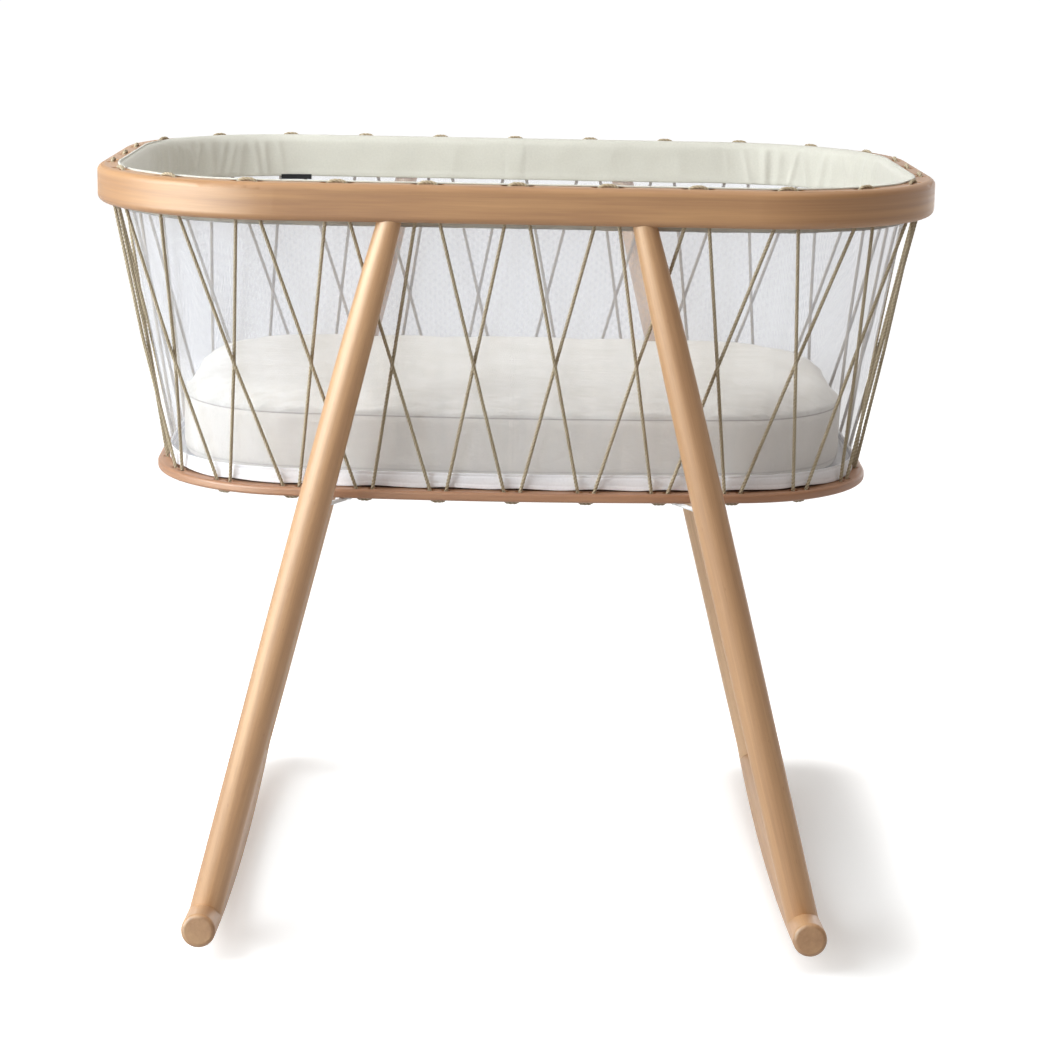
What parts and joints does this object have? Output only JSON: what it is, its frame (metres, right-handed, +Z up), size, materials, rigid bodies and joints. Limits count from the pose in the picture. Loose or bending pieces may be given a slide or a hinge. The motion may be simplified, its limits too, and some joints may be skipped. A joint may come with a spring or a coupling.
{
  "type": "bassinet on stand",
  "caption": "Rocking bassinet: oval basket of rope laced between a bent wood rim and a base ring, see-through cotton liner, loose mattress, splayed round legs on curved rockers.",
  "frame": {"origin": "on the floor, under the centre of the basket", "axes": "+X along the basket's length to the viewer's right, -Y to the front, +Z up"},
  "size_m": [0.89, 0.6858, 0.818],
  "materials": {
    "bent_beech": "matte lacquered beech, bent",
    "turned_beech": "matte lacquered beech, turned",
    "rocker_beech": "matte lacquered beech, bent round bar",
    "hardboard": "dark brown hardboard",
    "rope": "twisted cord",
    "white_steel": "white powder coat",
    "zinc_steel": "zinc plated",
    "band_cotton": "ivory cotton, fine weave",
    "mesh": "white see-through mesh",
    "hem_cotton": "white cotton",
    "label_ribbon": "plain black woven ribbon",
    "mattress_cotton": "off-white cotton cover, softly creased"
  },
  "bodies": {
    "cradle": {"rim": "bent_beech", "base_ring": "bent_beech", "base_panel": "hardboard", "leg_front_left": "turned_beech", "leg_front_right": "turned_beech", "leg_rear_left": "turned_beech", "leg_rear_right": "turned_beech", "rocker_left": "rocker_beech", "rocker_right": "rocker_beech", "stay_front_left": "white_steel", "stay_front_right": "white_steel", "stay_rear_left": "white_steel", "stay_rear_right": "white_steel", "lacing_even": "rope", "lacing_odd": "rope", "rocker_bolts": "zinc_steel", "leg_lock_screws": "zinc_steel", "stay_screws": "zinc_steel", "panel_screws": "zinc_steel", "liner_band": "band_cotton", "liner_mesh": "mesh", "liner_hem": "hem_cotton", "liner_floor": "hem_cotton", "label_tab": "label_ribbon"},
    "mattress": {"mattress": "mattress_cotton"}
  },
  "joints": [
    {"name": "mattress_lift", "type": "slide", "parent": "cradle", "child": "mattress", "axis": [0, 0, 1], "range_m": [0, 0.4]}
  ]
}
